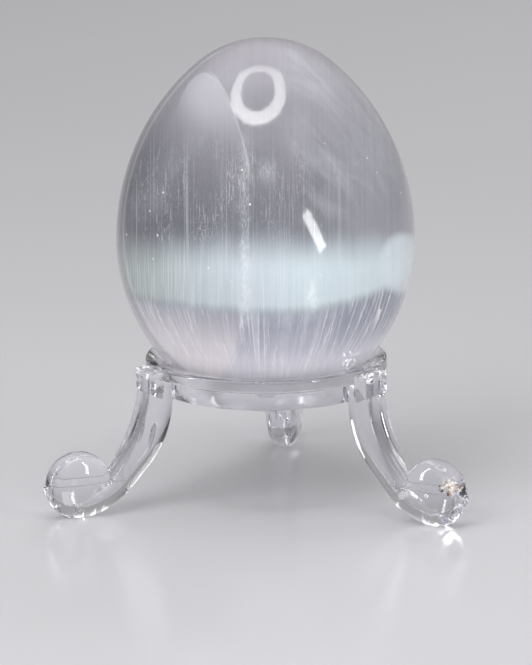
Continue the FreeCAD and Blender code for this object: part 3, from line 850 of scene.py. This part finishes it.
# The egg's own lamps: a long low one in front for its underside, one behind that also reaches
# the floor, and the leaning strip whose mirrored shape shows as a slanted bar.
def makeEggLamps(egg):
    keepTo(makeSoftLamp("lowSoft"), [egg])
    keepTo(makeSoftLamp("backSoft"), [egg, studioFloor])
    low, high = Vector(studio["barLow"]), Vector(studio["barHigh"])
    bar = makeLamp("barLamp", (low + high) / 2, studio["barAim"],
                   (studio["barWidth"], (high - low).length), studio["barPower"], line=high - low)
    bar.visible_diffuse = False
    keepTo(bar, [egg])


makeEggLamps(makeEgg())
print("egg made")


# the ring and legs, of clear moulded plastic

clearStand = {
    "sharpAngle": 20.0,       # edges sharper than this stay crisp, degrees
    "tint": (0.915, 0.908, 0.945, 1.0),
    "index": 1.49,            # how strongly it bends light
    "polish": 0.010,
    "smears": 0.05,
    "smearScale": 260.0,
    "ripple": 0.10,
    "rippleDepth": 0.0003,
    "partingHeight": 0.0060,  # the mould's parting line round each foot
    "partingWidth": 0.00010,
    "partingFrom": 0.0262,    # distance from the axis where the line begins
    "partingSoft": 0.0004,    # and further out, where it is full
    "rootTop": 0.0090,        # height where the line across a foot's root fades out
    "rootSoft": 0.0015,       # and further down, where it is full
    "lineHeight": 0.6,        # how far both lines stand out, in ripples
    "lineRoughness": 0.35,    # how much rougher they are
    "lineShade": (0.62, 0.61, 0.66, 1.0),
}


# Clear moulded plastic: faint smears, a slow ripple from the mould and, on the feet, the thin
# lines where the mould's halves met, one level round each foot and one up across its root.
def makeAcrylic():
    material, bench, shader = newMaterial("clearAcrylic")
    place = bench.add("TexCoord").outputs["Object"]
    roughness, ripple = addHandling(bench, place, clearStand["polish"], clearStand["smears"],
                                    clearStand["smearScale"])
    x, y, z = bench.split(place)
    reach = bench.reach(x, y)
    start, width, top = (clearStand[key] for key in ("partingFrom", "partingWidth", "rootTop"))
    level = bench.times(bench.bell(z, clearStand["partingHeight"], width),
                        bench.step(reach, start, start + clearStand["partingSoft"]))
    root = bench.times(bench.bell(reach, start, width),
                       bench.step(z, top, top - clearStand["rootSoft"]))
    lines = bench.math("MAXIMUM", level, root)
    height = bench.line(lines, clearStand["lineHeight"], ripple)
    bump = bench.add("Bump", Strength=clearStand["ripple"],
                     Distance=clearStand["rippleDepth"], Height=height)
    bench.feedAll(shader, {
        "Base Color": bench.blend(lines, clearStand["tint"], clearStand["lineShade"]),
        "Roughness": bench.line(lines, clearStand["lineRoughness"], roughness),
        "Normal": bump.outputs["Normal"],
        "Transmission Weight": 1.0, "IOR": clearStand["index"]})
    return material


# a copy of the CAD piece with its loose triangles joined, smooth across its curves
def clearCopy(node, name, material, body):
    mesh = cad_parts[node].data.copy()
    mesh.name = name
    work = bmesh.new()
    work.from_mesh(mesh)
    bmesh.ops.remove_doubles(work, verts=work.verts, dist=1e-6)
    work.to_mesh(mesh)
    work.free()
    mesh.materials.clear()
    mesh.materials.append(material)
    mesh.shade_smooth()
    mesh.set_sharp_from_angle(angle=math.radians(clearStand["sharpAngle"]))
    piece = addObject(name, mesh)
    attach(piece, body)
    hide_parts(node)
    return piece


# air bubbles in the left leg, drawn out along the flow of the plastic

bubbles = {
    "lines": (                # three points on each bubble's middle line
        ((-0.01786, -0.01132, 0.01492), (-0.01834, -0.01166, 0.01259), (-0.01881, -0.01208, 0.01046)),
        ((-0.01991, -0.01098, 0.01531), (-0.02020, -0.01153, 0.01355), (-0.02064, -0.01209, 0.01179))),
    "radii": (0.00066, 0.00052),
    "taper": 0.5,
    "levelWay": (0.5, -0.87, 0.0),  # roughly across both lines, where angles start
    "alongRows": 34,
    "aroundColumns": 20,
    # painted shade: the air tinted grey so the bubbles read darker
    "tint": (0.74, 0.74, 0.78, 1),
    "smears": 0.04,
    "smearScale": 900.0,
}


# The middle line is a parabola through three points, and the radius follows the sine of the
# angle from pole to pole, times a taper.
def makeBubbles():
    first, middle, last = np.moveaxis(np.array(bubbles["lines"]), 1, 0)[:, :, None, None, :]
    slope = np.linspace(math.pi, 0, bubbles["alongRows"])[None, :, None, None]
    share = 0.5 + 0.5 * np.cos(slope)
    line = ((1 - share) * (1 - 2 * share) * first + 4 * share * (1 - share) * middle
            + share * (2 * share - 1) * last)
    tangent = (last - first) / np.linalg.norm(last - first, axis=-1, keepdims=True)
    aside = np.cross(tangent, bubbles["levelWay"])
    aside /= np.linalg.norm(aside, axis=-1, keepdims=True)
    around = np.linspace(0, 2 * math.pi, bubbles["aroundColumns"], endpoint=False)
    around = around[None, None, :, None]
    ring = np.cos(around) * aside + np.sin(around) * np.cross(tangent, aside)
    widest = np.array(bubbles["radii"])[:, None, None, None]
    radius = widest * np.sin(slope) * (1 - bubbles["taper"] * share)
    piece = closedSurface("legBubbles", line + radius * ring)
    material, bench, shader = newMaterial("trappedAir")
    place = bench.add("TexCoord").outputs["Object"]
    roughness = addHandling(bench, place, 0.0, bubbles["smears"], bubbles["smearScale"])[0]
    bench.feedAll(shader, {
        "Base Color": bubbles["tint"], "Roughness": roughness, "Transmission Weight": 1.0,
        "IOR": 1 / clearStand["index"]})      # air seen from inside the plastic
    piece.data.materials.append(material)
    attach(piece, "left_leg")


# crumbs of scorched plastic left on the right foot

crumbs = {
    "middle": (0.03225, -0.02110, 0.00745),
    "spread": (0.00080, 0.00020, 0.00066),
    "count": 130,
    "size": (0.00006, 0.00017),
    "stretch": (0.6, 1.9),
    "knobs": 0.28,            # how far a grain's radius varies
    "waves": (3, 2),          # and how often, around it and from pole to pole
    "seed": 11,
    "alongRows": 6,
    "aroundColumns": 7,
    "toneScale": 1400.0,
    "roughness": (0.3, 0.35),
    "tones": ((0.36, (0.33, 0.20, 0.14)), (0.44, (0.66, 0.47, 0.33)), (0.49, (0.86, 0.82, 0.78)),
              (0.62, (0.97, 0.96, 0.95))),
}


# Each grain is a sphere by two angles, its radius carried up and down by sines, set on the
# foot's nearest surface and kept inside the foot's own box.
def makeCrumbs(foot, low, high):
    draw = np.random.default_rng(crumbs["seed"])
    count = crumbs["count"]
    spots = np.array(crumbs["middle"]) + draw.normal(0, 1, (count, 3)) * crumbs["spread"]
    spots = np.array([foot.closest_point_on_mesh(Vector(spot))[1] for spot in spots])
    size = draw.uniform(*crumbs["size"], (count, 1, 1, 1))
    size = size * draw.uniform(*crumbs["stretch"], (count, 1, 1, 3))
    polar = np.linspace(0, math.pi, crumbs["alongRows"])[None, :, None]
    around = np.linspace(0, 2 * math.pi, crumbs["aroundColumns"], endpoint=False)[None, None, :]
    (often, slant), turned = crumbs["waves"], draw.uniform(0, 6, (count, 1, 1))
    wave = np.sin(often * around + slant * polar + turned) * np.sin(polar)
    radius = 1 + crumbs["knobs"] * wave
    grains = np.stack([radius * np.sin(polar) * np.cos(around), radius * np.sin(polar) * np.sin(around),
                       radius * -np.cos(polar)], -1) * size + spots[:, None, None, :]
    piece = closedSurface("footCrumbs", np.clip(grains, low, high))
    material, bench, shader = newMaterial("scorchedCrumbs")
    place = bench.add("TexCoord").outputs["Object"]
    tone = bench.noise(place, crumbs["toneScale"])
    bench.feedAll(shader, {"Base Color": bench.ramp(tone, crumbs["tones"]),
                           "Roughness": bench.line(tone, *crumbs["roughness"])})
    piece.data.materials.append(material)
    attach(piece, "right_leg")


# tall lamps beside the stand, which draw bright lines along its edges and leave the egg alone
def makeStrips(pieces):
    for name, place in studio["stripPlaces"].items():
        strip = makeLamp(name, place, studio["stripAim"], studio["stripSize"], studio["stripPower"])
        keepTo(strip, pieces)


def makeStand():
    acrylic = makeAcrylic()
    ring = clearCopy("stand_ring", "ringClear", acrylic, "ring")
    legs = {side: clearCopy("leg_" + side, "legClear_" + side, acrylic, side + "_leg")
            for side in ("back", "left", "right")}
    makeBubbles()
    makeCrumbs(legs["right"], *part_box("leg_right"))
    makeStrips([ring, *legs.values()])


makeStand()
print("stand made")
